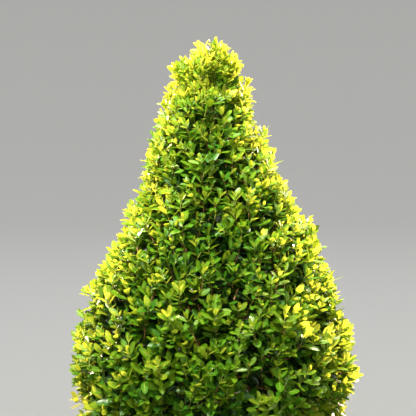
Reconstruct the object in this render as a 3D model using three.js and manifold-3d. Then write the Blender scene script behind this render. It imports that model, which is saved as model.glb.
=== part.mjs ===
// A boxwood shrub clipped into a cone, rooted in the ground, in millimetres with +Z up.
// The origin is the middle of the flat cut under the trunk, at ground level, and -Y is the front.
// A leader rises through the hollow middle. Boughs leave it in two tiers and each one carries its own
// mass of foliage, a piece of the clipped shell: a core, with twigs and leaves that stand out of it.

import * as THREE from "three";
import { mergeVertices } from "three/addons/utils/BufferGeometryUtils.js";
import Module from "manifold-3d";

// The clipped outline that the leaf tips reach: [radius, height] from under the skirt to the crown's top.
const OUTLINE = [
  [146, 46], [184, 37], [219, 68], [237, 112], [241, 165], [221, 258],
  [144, 430], [96, 560], [65, 640], [52, 670], [27, 691], [0, 697],
];
// Where the clipping is uneven: bearing and height of the middle, swell of the radius, and its spread.
const SWELLS = [
  { bearing: 0, height: 372, swell: 13, spread: 48 },
  { bearing: 180, height: 385, swell: -12, spread: 52 },
  { bearing: 0, height: 195, swell: 6, spread: 40 },
  { bearing: 180, height: 100, swell: -6, spread: 45 },
  { bearing: 180, height: 668, swell: 6, spread: 22 },
  { bearing: 75, height: 300, swell: 8, spread: 55 },
  { bearing: 120, height: 180, swell: -8, spread: 60 },
  { bearing: 255, height: 250, swell: 5, spread: 50 },
];
const FRONT_BEARING = -90;
const LIFT = 0.4; // how far growth turns up from the normal of the clipped surface

// The masses, and the heights at which the clipped surface passes from one tier to the next.
const LOWER_MASSES = ["front", "front_right", "back_right", "back", "back_left", "front_left"];
const UPPER_MASSES = ["front", "right", "back", "left"];
const LOWER_SEAM_HEIGHT = 330;
const UPPER_SEAM_HEIGHT = 556;

const TRUNK = { height: 455, radius: 14, tipRadius: 4.2, sway: 5, sides: 16, steps: 13 };
const FLARE = { radius: 11, height: 22 }; // added at the ground, and the height over which it fades
// The boughs of a tier: height of the lowest on the leader and the steps up to the others, the height of
// the clipped surface where they point, their radius at both ends, and how far they bow down and sideways.
const LOWER_BOUGH = { from: 46, rise: 13, to: 186, radius: 6.6, tipRadius: 4.2, bow: 26, sweep: 9 };
const UPPER_BOUGH = { from: 226, rise: 17, to: 428, radius: 4.6, tipRadius: 3.2, bow: 10, sweep: 4 };
const TURN_OF_SWEEP = 2.4; // from one bough of a tier to the next
const BOUGH_SIDES = 6;
const BOUGH_STEPS = 6;
const STEM = { standsOut: 13, sinksIn: 26 }; // lengths of a mass's stem outside and inside its core

// How deep the leaves stand round a core: more where the crown is wide, and there the leaves are larger.
const LEAF_DEPTH = { least: 24, perRadius: 0.09, fullSize: 45 };
// The cores: the height of the clipped surface above their foot, and the hollow they leave the leader.
const CORE = { thickness: 38, lump: 5, hollowRadius: 26, foot: 84 };
const GAP = 0.3; // between two limbs that meet
const SIDE_GAP = 0.2; // kept by each mass on its own side of an upright seam
const SEAM_GAP = 1.1; // kept on each side of a sloping seam, whose round face the cores' flat ones cross
const LEAF_SEAM_GAP = 2;

// The twigs. They sink into the core, and their roots keep away from its rims.
const TWIG = { radius: 2.2, tipRadius: 1.2, sinksIn: 10, fromRim: 14 };
const NODE_SPACING = 5; // along a twig, from one pair of leaves to the next
// The leaf pairs of a spray from its foot to its tip: full length and angle from the twig.
const LEAF_PAIRS = [
  { length: 41, angle: 70 },
  { length: 41, angle: 51 },
  { length: 36, angle: 30 },
];
// Shares of a leaf's length: its widest place, half its width there, its blunt tip, and its fold.
const LEAF = { widest: 0.56, halfWidth: 0.27, tipAt: 0.97, halfTip: 0.12, fold: 0.07 };
const LEAF_TRIES = [1, 0.86, 0.72]; // shares of its length at which a leaf is tried
const LEAF_CLEARANCE = 13; // between the middles of two leaves of different sprays
const LEAST_LEAVES = 3;
const SPRAY_TRIES = 12;
const SPRAY_JITTER = 0.2;
const UNEVEN_REACH = 4;
const LONG_SHOOT = { share: 0.14, reach: 9 }; // grown out again since the last clipping
const SPRAY_SPACING = { lower: 1.75, upper: 1.9, top: 2.2 }; // as multiples of the leaves' depth
// The crown's highest shoots: where they fork, and where their tips stand.
const TOP_FORK = new THREE.Vector3(0, 0, 640);
const TOP_LEAF_SCALE = 0.68;
const TOP_SHOOTS = [
  new THREE.Vector3(13, -2, 698),
  new THREE.Vector3(-31, -10, 679),
  new THREE.Vector3(39, 8, 681),
  new THREE.Vector3(-6, 34, 679),
  new THREE.Vector3(3, -38, 678),
];

const WELD = 0.03; // corners closer than this are merged after a join
const SEED = 20417;

const wasm = await Module();
wasm.setup();

const up = new THREE.Vector3(0, 0, 1);
const { degToRad: radians, clamp } = THREE.MathUtils;

// A repeatable stream of numbers from 0 to 1.
function seeded(seed) {
  let state = seed;
  return () => {
    state = (state + 0x6d2b79f5) | 0;
    let t = Math.imul(state ^ (state >>> 15), 1 | state);
    t = (t + Math.imul(t ^ (t >>> 7), 61 | t)) ^ t;
    return ((t ^ (t >>> 14)) >>> 0) / 4294967296;
  };
}

const random = seeded(SEED);
const spread = (amount) => (random() * 2 - 1) * amount;

// A closed geometry as a solid, and a solid as a geometry.
function solidOf(geometry) {
  const bare = new THREE.BufferGeometry().setAttribute("position", geometry.getAttribute("position"));
  if (geometry.index) bare.setIndex(geometry.index);
  const merged = mergeVertices(bare, 1e-3);
  return new wasm.Manifold(
    new wasm.Mesh({
      numProp: 3,
      vertProperties: new Float32Array(merged.attributes.position.array),
      triVerts: new Uint32Array(merged.index.array),
    }),
  );
}

function geometryOf(solid) {
  const mesh = solid.getMesh();
  return new THREE.BufferGeometry()
    .setAttribute("position", new THREE.BufferAttribute(mesh.vertProperties, 3))
    .setIndex(new THREE.BufferAttribute(mesh.triVerts, 1));
}

function geometryFrom(points, triangles) {
  const numbers = new Float32Array(points.flatMap((point) => point.toArray()));
  return new THREE.BufferGeometry()
    .setAttribute("position", new THREE.BufferAttribute(numbers, 3))
    .setIndex(triangles.flat());
}

// The one body that matters after a join or a cut, without the loose scraps and the sealed hollows.
function largest(solid) {
  const pick = (pieces) => pieces.sort((a, b) => b.volume() - a.volume())[0];
  return pick(pick(solid.decompose()).simplify(WELD).decompose());
}

// Whether each edge of a solid still parts just two faces once its corners are rounded and merged.
function isClosed(solid) {
  const { index } = mergeVertices(geometryOf(solid), 2e-3);
  const uses = new Map();
  for (let corner = 0; corner < index.count; corner++) {
    const a = index.getX(corner);
    const b = index.getX(corner % 3 === 2 ? corner - 2 : corner + 1);
    const edge = Math.min(a, b) * index.count + Math.max(a, b);
    uses.set(edge, (uses.get(edge) ?? 0) + 1);
  }
  return [...uses.values()].every((count) => count === 2);
}

// A closed skin over rings of points, with a fan at each end.
function skinOver(rings) {
  const sides = rings[0].length;
  const triangles = [];
  for (let ring = 0; ring < rings.length - 1; ring++)
    for (let side = 0; side < sides; side++) {
      const a = ring * sides + side;
      const b = ring * sides + ((side + 1) % sides);
      triangles.push([a, b, b + sides], [a, b + sides, a + sides]);
    }
  const last = (rings.length - 1) * sides;
  for (let side = 1; side < sides - 1; side++)
    triangles.push([0, side + 1, side], [last, last + side, last + side + 1]);
  return geometryFrom(rings.flat(), triangles);
}

// The clipped surface

const outline = new THREE.SplineCurve(OUTLINE.map(([radius, height]) => new THREE.Vector2(radius, height)));
outline.arcLengthDivisions = 600;
const outlineLength = outline.getLength();

function swellAt(bearing, radius, height) {
  return SWELLS.reduce((sum, place) => {
    const turn = Math.acos(Math.cos(bearing - radians(place.bearing)));
    const away = Math.hypot(turn * radius, height - place.height) / place.spread;
    return sum + place.swell * Math.exp(-away * away);
  }, 0);
}

// A point of the clipped surface at a bearing and a share of the outline's length, with the way that
// growth heads there, how far along that way one millimetre of depth is, and the depth of the leaves.
function clippedAt(bearing, along) {
  const place = outline.getPointAt(along);
  const tangent = outline.getTangentAt(along);
  const radius = place.x + swellAt(bearing, place.x, place.y);
  const normal = new THREE.Vector3(tangent.y * Math.cos(bearing), tangent.y * Math.sin(bearing), -tangent.x);
  const heading = normal.clone().addScaledVector(up, LIFT).normalize();
  return {
    point: new THREE.Vector3(radius * Math.cos(bearing), radius * Math.sin(bearing), place.y),
    heading,
    stretch: 1 / heading.dot(normal),
    depth: LEAF_DEPTH.least + LEAF_DEPTH.perRadius * radius,
    radius,
  };
}

// The share of the outline's length at which its side reaches a height.
function alongAt(height) {
  let low = 0.12;
  let high = 1;
  while (high - low > 1e-9) {
    const middle = (low + high) / 2;
    if (outline.getPointAt(middle).y < height) low = middle;
    else high = middle;
  }
  return low;
}

// A seam between two tiers: a cone that follows the growth in from a height of the clipped surface.
function seamAt(height) {
  const along = alongAt(height);
  const { point, heading, radius } = clippedAt(radians(FRONT_BEARING), along);
  const slope = heading.z / Math.hypot(heading.x, heading.y);
  return { along, slope, above: (p) => p.z - point.z - slope * (Math.hypot(p.x, p.y) - radius) };
}

const lowerSeam = seamAt(LOWER_SEAM_HEIGHT);
const upperSeam = seamAt(UPPER_SEAM_HEIGHT);
const seamShare = SEAM_GAP / outlineLength;

// Trunk and boughs

const trunkPath = new THREE.CatmullRomCurve3(
  [0, 1, 2, 3, 4, 5].map((step) => {
    const sway = step ? TRUNK.sway * (1 - step / 8) : 0;
    return new THREE.Vector3(
      sway * Math.sin(step * 1.9), sway * Math.cos(step * 1.4 + 1), (TRUNK.height * step) / 5,
    );
  }),
);

// The leader in level rings, so that its foot is a flat cut. It can be made fatter, to cut room for it.
function trunkGeometry(fatter) {
  const rings = [];
  for (let step = 0; step <= TRUNK.steps; step++) {
    const share = (step / TRUNK.steps) ** 1.5; // rings lie closer at the root flare
    const centre = trunkPath.getPoint(share);
    const taper = TRUNK.radius + (TRUNK.tipRadius - TRUNK.radius) * share ** 0.8;
    const flare = FLARE.radius * Math.exp(-centre.z / FLARE.height);
    rings.push(
      Array.from({ length: TRUNK.sides }, (_, side) => {
        const turn = (side / TRUNK.sides) * 2 * Math.PI;
        const lobes = 1 + 0.3 * Math.cos(4 * turn) + 0.3 * Math.cos(3 * turn + 1);
        const radius = taper + flare * lobes + fatter;
        return new THREE.Vector3(radius * Math.cos(turn), radius * Math.sin(turn), 0).add(centre);
      }),
    );
  }
  return skinOver(rings);
}

// A round limb that tapers along a curve.
function limbGeometry(curve, steps, sides, radius, tipRadius) {
  const frames = curve.computeFrenetFrames(steps);
  const rings = [];
  for (let step = 0; step <= steps; step++) {
    const centre = curve.getPointAt(step / steps);
    const girth = radius + ((tipRadius - radius) * step) / steps;
    rings.push(
      Array.from({ length: sides }, (_, side) => {
        const turn = (side / sides) * 2 * Math.PI;
        return centre
          .clone()
          .addScaledVector(frames.normals[step], girth * Math.cos(turn))
          .addScaledVector(frames.binormals[step], girth * Math.sin(turn));
      }),
    );
  }
  return skinOver(rings);
}

// A bough's curve: bowed from the leader's middle to just short of its mass's core.
function boughCurve(tier, index, bearing) {
  const height = tier.from + tier.rise * ((index * 2) % 5);
  const from = trunkPath.getPoint(height / TRUNK.height);
  const entry = innerPoint(clippedAt(bearing, alongAt(tier.to)));
  const outward = entry.clone().sub(from).setZ(0).normalize();
  const sideways = new THREE.Vector3().crossVectors(up, outward);
  const middle = from
    .clone()
    .lerp(entry, 0.5)
    .addScaledVector(up, -tier.bow)
    .addScaledVector(outward, tier.bow / 2)
    .addScaledVector(sideways, tier.sweep * Math.sin(index * TURN_OF_SWEEP));
  const arrival = entry.clone().sub(middle).normalize();
  const tip = entry.addScaledVector(arrival, -STEM.standsOut);
  return new THREE.QuadraticBezierCurve3(from, middle, tip);
}

// A stem that carries on from a limb's tip into the core of its mass.
function stemSolid(tip, heading, radius, reach) {
  const start = tip.clone().addScaledVector(heading, GAP);
  const end = tip.clone().addScaledVector(heading, reach);
  return solidOf(limbGeometry(new THREE.LineCurve3(start, end), 1, BOUGH_SIDES, radius, radius));
}

// Masses

// A mass's own space: between upright planes through the axis, unless it goes all round, and its seams.
function spaceOf({ from, to, floor, roof }) {
  const sideways = (p, bearing) => p.y * Math.cos(bearing) - p.x * Math.sin(bearing);
  return (p) =>
    (from === undefined || (sideways(p, from) >= SIDE_GAP && -sideways(p, to) >= SIDE_GAP)) &&
    (!floor || floor.above(p) >= LEAF_SEAM_GAP) &&
    (!roof || roof.above(p) <= -LEAF_SEAM_GAP);
}

// The point of a core's inner face under a point of the clipped surface. It leaves the leader's hollow open.
function innerPoint({ point, heading, stretch, depth, radius }) {
  const level = Math.hypot(heading.x, heading.y);
  const inward = Math.min((depth + CORE.thickness) * stretch, (radius - CORE.hollowRadius) / level);
  return point.clone().addScaledVector(heading, -inward);
}

// The point of a core's outer face there, or one that lies deeper.
function outerPoint({ point, heading, stretch, depth }, deeper = 0) {
  return point.clone().addScaledVector(heading, -(depth + deeper) * stretch);
}

// The core of one mass: a thick curved slab under the clipped surface. Its lumpy outer side has twice the
// rows and columns of its inner side.
function slabGeometry({ from, to, foot, high }, columns, rows) {
  const points = [];
  const triangles = [];
  const addSheet = (wide, tall, isInner) => {
    const first = points.length;
    const at = (column, row) => first + row * (wide + 1) + column;
    for (let row = 0; row <= tall; row++)
      for (let column = 0; column <= wide; column++) {
        const bearing = from + ((to - from) * column) / wide;
        const place = clippedAt(bearing, foot + ((high - foot) * row) / tall);
        const onRim = column === 0 || column === wide || row === 0 || row === tall;
        const point = isInner ? innerPoint(place) : outerPoint(place, onRim ? 0 : spread(CORE.lump));
        const inward = column === 0 ? SIDE_GAP : column === wide ? -SIDE_GAP : 0;
        points.push(point.add(new THREE.Vector3(-Math.sin(bearing), Math.cos(bearing), 0).multiplyScalar(inward)));
      }
    for (let row = 0; row < tall; row++)
      for (let column = 0; column < wide; column++) {
        const corners = [at(column, row), at(column + 1, row), at(column + 1, row + 1), at(column, row + 1)];
        const [a, b, c, d] = isInner ? corners.reverse() : corners;
        triangles.push([a, b, c], [a, c, d]);
      }
    const rim = [];
    for (let column = 0; column < wide; column++) rim.push(at(column, 0));
    for (let row = 0; row < tall; row++) rim.push(at(wide, row));
    for (let column = wide; column > 0; column--) rim.push(at(column, tall));
    for (let row = tall; row > 0; row--) rim.push(at(0, row));
    return rim;
  };
  const outer = addSheet(columns * 2, rows * 2, false);
  const inner = addSheet(columns, rows, true);
  inner.forEach((a, step) => {
    const b = inner[(step + 1) % inner.length];
    const [c, d, e] = [0, 1, 2].map((ahead) => outer[(step * 2 + ahead) % outer.length]);
    triangles.push([a, d, c], [a, b, d], [b, e, d]);
  });
  return geometryFrom(points, triangles);
}

// The core of the crown's top: a dome turned on a lathe, from a hollow cone along the seam to its tip.
function domeGeometry(seam, sides, rows) {
  const rim = seam.along + seamShare;
  const profile = [];
  for (let row = 0; row < rows; row++) {
    const point = outerPoint(clippedAt(0, rim + ((1 - rim) * row) / rows));
    profile.push(new THREE.Vector2(point.x, point.z));
  }
  profile.unshift(new THREE.Vector2(0, profile[0].y - profile[0].x * seam.slope));
  profile.push(new THREE.Vector2(0, OUTLINE.at(-1)[1] - LEAF_DEPTH.least));
  return new THREE.LatheGeometry(profile, sides).rotateX(Math.PI / 2);
}

// One leaf in place of a triangle of its twig, whose corners are its root. Its upper side is folded along
// a ridge and its lower side is flatter. The root's single corner is on top or, on the opposite leaf, below.
function addLeaf(points, triangles, { root, single }, out, side, upward, length) {
  const foot = new THREE.Vector3();
  for (const corner of root) foot.addScaledVector(points[corner], 1 / 3);
  const [l, t, u, r] = [0, 1, 2, 3].map((added) => points.length + added);
  const [a, b, s] = root;
  for (const [along, across, raised] of [
    [LEAF.widest, -LEAF.halfWidth, -LEAF.fold],
    [LEAF.tipAt, -LEAF.halfTip, -LEAF.fold / 3],
    [LEAF.tipAt, LEAF.halfTip, -LEAF.fold / 3],
    [LEAF.widest, LEAF.halfWidth, -LEAF.fold],
  ])
    points.push(
      foot
        .clone()
        .addScaledVector(out, along * length)
        .addScaledVector(side, across * length)
        .addScaledVector(upward, raised * length),
    );
  triangles.push([l, r, u], [l, u, t]);
  if (single === "top")
    triangles.push([a, b, r], [a, r, l], [s, l, t], [s, t, u], [s, u, r], [a, l, s], [b, s, r]);
  else triangles.push([s, r, l], [a, l, t], [a, t, u], [a, u, b], [b, u, r], [s, l, a], [s, b, r]);
}

// A spray: a three-sided twig from root along heading, each ring of it turned by a sixth, with a pair of
// opposite leaves at each of its upper steps. A leaf that would leave its mass's space, or lie on a leaf of
// another spray, is made smaller or skipped.
function sprayAlong(root, heading, reach, scale, inside, others) {
  const last = LEAF_PAIRS.at(-1);
  const tipLength = last.length * LEAF.tipAt * Math.cos(radians(last.angle));
  const leafyEnd = (LEAF_PAIRS.length * NODE_SPACING + tipLength) * scale;
  const across = new THREE.Vector3().crossVectors(heading, up);
  if (across.lengthSq() < 0.01) across.set(1, 0, 0);
  across.normalize();
  const lifted = new THREE.Vector3().crossVectors(heading, across);
  const begin = random() * 2 * Math.PI;
  const around = (turn) =>
    across
      .clone()
      .multiplyScalar(Math.cos(begin + turn))
      .addScaledVector(lifted, Math.sin(begin + turn));
  const sixth = Math.PI / 3;
  const points = [];
  const steps = LEAF_PAIRS.length + 1;
  for (let ring = 0; ring <= steps; ring++) {
    const along = ring ? reach - leafyEnd + (ring - 1) * NODE_SPACING * scale : 0;
    const radius = TWIG.radius + ((TWIG.tipRadius - TWIG.radius) * ring) / steps;
    for (let corner = 0; corner < 3; corner++)
      points.push(
        root
          .clone()
          .addScaledVector(heading, along)
          .addScaledVector(around((ring + corner * 2) * sixth), radius),
      );
  }
  const triangles = [[0, 2, 1], [steps * 3, steps * 3 + 1, steps * 3 + 2]];
  const middles = [];

  // Tries a leaf on one face of the twig, and tells if it fits.
  function growLeaf(face, pair, turn) {
    const outward = around(turn);
    const angle = radians(pair.angle + spread(9));
    const out = heading.clone().multiplyScalar(Math.cos(angle)).addScaledVector(outward, Math.sin(angle));
    const roll = spread(0.3);
    const flatSide = new THREE.Vector3().crossVectors(heading, outward);
    const flatTop = heading.clone().multiplyScalar(Math.sin(angle)).addScaledVector(outward, -Math.cos(angle));
    const side = flatSide.clone().multiplyScalar(Math.cos(roll)).addScaledVector(flatTop, Math.sin(roll));
    const upward = flatTop.multiplyScalar(Math.cos(roll)).addScaledVector(flatSide, -Math.sin(roll));
    const length = pair.length * scale * (1 + spread(0.12));
    for (const share of LEAF_TRIES) {
      const [kept, made] = [points.length, triangles.length];
      addLeaf(points, triangles, face, out, side, upward, length * share);
      const corners = points.slice(kept);
      const middle = corners.reduce((sum, p) => sum.addScaledVector(p, 0.25), new THREE.Vector3());
      if (corners.every(inside) && others.every((p) => p.distanceTo(middle) > LEAF_CLEARANCE * scale)) {
        middles.push(middle);
        return true;
      }
      points.length = kept;
      triangles.length = made;
    }
    return false;
  }

  for (let ring = 0; ring < steps; ring++) {
    const pair = LEAF_PAIRS[ring - 1];
    const leafy = (ring * 2) % 3; // the pair turns from step to step
    const low = ring * 3;
    const high = low + 3;
    for (let corner = 0; corner < 3; corner++) {
      const next = (corner + 1) % 3;
      const rising = { root: [low + corner, low + next, high + corner], single: "top" };
      const falling = { root: [high + corner, high + next, low + next], single: "below" };
      const turn = (ring + corner * 2) * sixth;
      if (!pair || corner !== leafy || !growLeaf(rising, pair, turn + sixth)) triangles.push(rising.root);
      if (!pair || corner !== (leafy + 1) % 3 || !growLeaf(falling, pair, turn + 2 * sixth)) {
        const [a, b, s] = falling.root;
        triangles.push([a, s, b]);
      }
    }
  }
  if (middles.length < LEAST_LEAVES || !points.every(inside)) return null;
  return { geometry: geometryFrom(points, triangles), middles };
}

// A spray from inside the core to the clipped surface. Past the core's foot and its rims it fans out.
function sprayAt({ bearing, along }, { foot, high }, inside, others) {
  const fromRim = TWIG.fromRim / outlineLength;
  const base = clippedAt(bearing, clamp(along, foot + fromRim, high - fromRim));
  const root = outerPoint(base, TWIG.sinksIn);
  const whole = clippedAt(bearing, along).point.sub(root);
  const reach = whole.length() + spread(UNEVEN_REACH) + (random() < LONG_SHOOT.share ? LONG_SHOOT.reach : 0);
  const jitter = new THREE.Vector3(spread(1), spread(1), spread(1)).multiplyScalar(SPRAY_JITTER);
  const heading = whole.normalize().add(jitter).normalize();
  return sprayAlong(root, heading, reach, base.depth / LEAF_DEPTH.fullSize, inside, others);
}

// One of the crown's highest shoots, from their fork to its tip.
function topShoot(tip, inside, others) {
  const whole = tip.clone().sub(TOP_FORK);
  return sprayAlong(TOP_FORK, whole.clone().normalize(), whole.length(), TOP_LEAF_SCALE, inside, others);
}

// Where the sprays of a mass stand: rows along its height, with staggered places side by side in each.
function sitesOver({ from = 0, to = 2 * Math.PI, low, high }, spacing) {
  const sites = [];
  const apart = spacing * clippedAt(radians(FRONT_BEARING), (low + high) / 2).depth;
  const rows = Math.round(((high - low) * outlineLength) / apart);
  for (let row = 0; row < rows; row++) {
    const along = low + ((high - low) * (row + 0.5)) / rows;
    const width = (to - from) * outline.getPointAt(along).x;
    const count = Math.max(1, Math.round(width / apart));
    const stagger = row % 2 ? 0.16 : -0.16;
    for (let place = 0; place < count; place++)
      sites.push({
        bearing: from + ((to - from) * (place + 0.5 + stagger + spread(0.08))) / count,
        along: along + (spread(0.1) * (high - low)) / rows,
      });
  }
  return sites;
}

// One mass as one solid: its core and stem, with sprays joined on one by one. A spray that would leave the
// mass's space, or not join cleanly, is grown again with other chances, and left out after the last try.
function massGeometry(core, stem, growers) {
  let mass = core.add(stem);
  const middles = [];
  for (const grow of growers)
    for (let attempt = 0; attempt < SPRAY_TRIES; attempt++) {
      const spray = grow(middles);
      const joined = spray && largest(mass.add(solidOf(spray.geometry)));
      if (joined && isClosed(joined)) {
        mass = joined;
        middles.push(...spray.middles);
        break;
      }
    }
  return geometryOf(mass);
}

const growersOver = (sector, spacing, inside) =>
  sitesOver(sector, spacing).map((site) => (others) => sprayAt(site, sector, inside, others));

// The shrub

const bark = new THREE.MeshStandardMaterial({ color: 0x6b5a45, roughness: 0.9, metalness: 0 });
const foliage = new THREE.MeshStandardMaterial({ color: 0x5d7a1c, roughness: 0.55, metalness: 0 });
const freshFoliage = new THREE.MeshStandardMaterial({ color: 0x86a024, roughness: 0.55, metalness: 0 });

const shrub = new THREE.Group();

function addPiece(name, geometry, material) {
  const mesh = new THREE.Mesh(geometry, material);
  mesh.name = name;
  shrub.add(mesh);
}

// A tier of masses side by side, each on its own bough.
function addTier({ label, names, bough, span, columns, rows, spacing }, roomForTrunk) {
  const width = radians(360 / names.length);
  names.forEach((name, index) => {
    const bearing = radians(FRONT_BEARING) + width * index;
    const sector = { from: bearing - width / 2, to: bearing + width / 2, ...span };
    const curve = boughCurve(bough, index, bearing);
    const limb = solidOf(limbGeometry(curve, BOUGH_STEPS, BOUGH_SIDES, bough.radius, bough.tipRadius));
    addPiece(`bough_${label}_${name}`, geometryOf(largest(limb.subtract(roomForTrunk))), bark);

    const stem = stemSolid(
      curve.getPoint(1), curve.getTangentAt(1), bough.tipRadius, STEM.standsOut + STEM.sinksIn,
    );
    const core = solidOf(slabGeometry(sector, columns, rows));
    const growers = growersOver(sector, spacing, spaceOf(sector));
    addPiece(`foliage_${label}_${name}`, massGeometry(core, stem, growers), foliage);
  });
}

const lowerTier = {
  label: "lower",
  names: LOWER_MASSES,
  bough: LOWER_BOUGH,
  span: { low: 0, foot: alongAt(CORE.foot), high: lowerSeam.along - seamShare, roof: lowerSeam },
  columns: 3,
  rows: 4,
  spacing: SPRAY_SPACING.lower,
};
const upperTier = {
  label: "upper",
  names: UPPER_MASSES,
  bough: UPPER_BOUGH,
  span: {
    low: lowerSeam.along,
    foot: lowerSeam.along + seamShare,
    high: upperSeam.along - seamShare,
    floor: lowerSeam,
    roof: upperSeam,
  },
  columns: 3,
  rows: 4,
  spacing: SPRAY_SPACING.upper,
};

addPiece("trunk", trunkGeometry(0), bark);
const roomForTrunk = solidOf(trunkGeometry(GAP));
addTier(lowerTier, roomForTrunk);
addTier(upperTier, roomForTrunk);

const top = { low: upperSeam.along, foot: upperSeam.along + seamShare, high: 0.9, floor: upperSeam };
const insideTop = spaceOf(top);
const leaderTip = trunkPath.getPoint(1);
const topStem = stemSolid(leaderTip, up, TRUNK.tipRadius, TOP_FORK.z - leaderTip.z);
const topGrowers = [
  ...TOP_SHOOTS.map((tip) => (others) => topShoot(tip, insideTop, others)),
  ...growersOver(top, SPRAY_SPACING.top, insideTop),
];
addPiece("foliage_top", massGeometry(solidOf(domeGeometry(upperSeam, 12, 4)), topStem, topGrowers), freshFoliage);

export default shrub;
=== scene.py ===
"""A boxwood clipped into a cone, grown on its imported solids.

Growth is worked out in millimetres, with +Z up and -Y the front, from the same named sizes as the
solids, and put into meshes in metres. The trunk and the boughs are replaced by limbs with furrowed
bark. Each mass of foliage is replaced by twigs that fan out from its bough, by shoots that rise from
them to the clipped surface, and by opposite pairs of leaves that turn from pair to pair along each
stem. Every piece rides on the plant's one body.
"""

import math

import bpy
import numpy as np
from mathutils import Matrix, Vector


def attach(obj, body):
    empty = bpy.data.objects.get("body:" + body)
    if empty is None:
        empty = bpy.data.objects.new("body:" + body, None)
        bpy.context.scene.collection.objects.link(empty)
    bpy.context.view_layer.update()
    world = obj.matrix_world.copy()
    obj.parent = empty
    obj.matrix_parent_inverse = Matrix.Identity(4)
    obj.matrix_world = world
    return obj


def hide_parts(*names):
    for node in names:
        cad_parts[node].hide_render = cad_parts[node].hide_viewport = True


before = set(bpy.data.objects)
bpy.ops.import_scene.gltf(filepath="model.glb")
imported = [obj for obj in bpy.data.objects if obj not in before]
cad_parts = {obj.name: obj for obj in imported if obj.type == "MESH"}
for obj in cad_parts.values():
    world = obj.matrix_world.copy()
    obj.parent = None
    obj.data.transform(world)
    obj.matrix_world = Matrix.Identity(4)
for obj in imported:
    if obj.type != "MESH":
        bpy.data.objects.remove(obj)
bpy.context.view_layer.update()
scene = bpy.context.scene

MM = 0.001
SEED = 20417
random = np.random.default_rng(SEED)
FULL_TURN = 2 * math.pi
UP = np.array([0.0, 0.0, 1.0])
SIDEWAYS = np.array([1.0, 0.0, 0.0])
NEARLY_UPRIGHT = 0.9  # upward part of a way, past which it is crossed with SIDEWAYS and not with UP

# The clipped outline that the leaf tips reach: radius and height, from under the skirt to the top.
OUTLINE = np.array([
    [146, 46], [184, 37], [219, 68], [237, 112], [241, 165], [221, 258],
    [144, 430], [96, 560], [65, 640], [52, 670], [27, 691], [0, 697],
], float)
# Where the clipping is uneven: bearing in degrees and height of the middle, swell of the radius, and
# how far it spreads.
SWELLS = np.array([
    [0, 372, 13, 48], [180, 385, -12, 52], [0, 195, 6, 40], [180, 100, -6, 45], [180, 672, 25, 25],
    [0, 660, 4, 25], [75, 300, 8, 55], [120, 180, -8, 60], [255, 250, 5, 50],
], float)
# Where the shoots stay further back, or reach further out by a negative number: bearing in degrees
# and height of the middle, how far, and how far it spreads.
TRIMS = np.array([
    [0, 565, 14, 70], [0, 513, 6, 28], [0, 417, 8, 28], [0, 318, 7, 20], [180, 620, -8, 75],
    [180, 455, 8, 42], [180, 288, 7, 20], [180, 235, -11, 28], [180, 220, 6, 130],
], float)
SPAN_STEPS = 60  # points of the outline and of the leader from one knot to the next
FRONT_BEARING = math.radians(-90)
LIFT = 0.4  # how far growth turns up from the normal of the clipped surface
SITE_JITTER = (0.32, 0.36)  # of a place along its row and across it, as shares of its room

# Trunk and boughs, as in the solids.
TRUNK = {"height": 455, "radius": 14, "tip_radius": 4.2}
SWAY = {"most": 5, "steps": 5, "fades_over": 8, "x_turn": 1.9, "y_turn": 1.4, "y_start": 1}
FLARE = {"radius": 11, "height": 22, "lobes": 0.3}
LOWER_BOUGH = {
    "count": 6, "from": 46, "rise": 13, "to": 186,
    "radius": 6.6, "tip_radius": 4.2, "bow": 26, "sweep": 9,
}
UPPER_BOUGH = {
    "count": 4, "from": 226, "rise": 17, "to": 428,
    "radius": 4.6, "tip_radius": 3.2, "bow": 10, "sweep": 4,
}
TIERS = (LOWER_BOUGH, UPPER_BOUGH)
TURN_OF_SWEEP = 2.4
LEAF_DEPTH = {"least": 24, "per_radius": 0.09}
CORE = {"thickness": 38, "hollow_radius": 26}
STEM_STANDS_OUT = 13
SEAM_HEIGHTS = (330, 556)  # between the lower masses, the upper ones and the top
TOP_FORK_HEIGHT = 640

# Bark in relief: how many ridges, how sharp, and how they waver along the limb.
RIDGES = {"count": 11, "sharpness": 0.7}
LONG_WAVER = {"turn": 0.9, "length": 23}
SHORT_WAVER = {"turn": 0.5, "length": 9}
TRUNK_BARK = {"depth": 0.9, "rings": 150, "crowding": 1.25, "sides": 64, "taper": 0.8}
BOUGH_BARK = {"depth": 0.45, "rings": 70, "sides": 24, "length": 160}

# Heights between which growth takes the ways of the skirt, of the upper cone and of the top.
SKIRT = (520, 200)
UPPER_CONE = (400, 520)
TOP = (560, 650)
TOP_TUFT = {
    "x": 19, "y": -4, "radius": 7, "fades_over": 23, "rises": (640, 680), "lift": 14, "drop": 16,
}

# Twigs inside the crown. Their feet lie along their boughs, or on the leader under the crown's top.
TWIG_SPACING = 26
LOWEST_TWIG = 0.02  # as a share of the outline's length
TWIG_DEPTH = (34, 54)
TWIG_RADIUS = (2.0, 1.1)
TWIG_FEET = (0.72, 1.0)  # as shares of the bough's length
TWIG_CURVE = (0.45, 0.2)  # of its reach, for its middle: on along the limb, and towards its end
TOP_TWIG_DROP = (35, 90)  # from its end down to its foot on the leader
TOP_TWIGS_BELOW_TIP = 40  # at most, of the trunk
LEADER_OVERLAP = 3  # of the thin leader with the trunk's tip
TWIG_MESH = {"rings": 9, "sides": 5}

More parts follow.
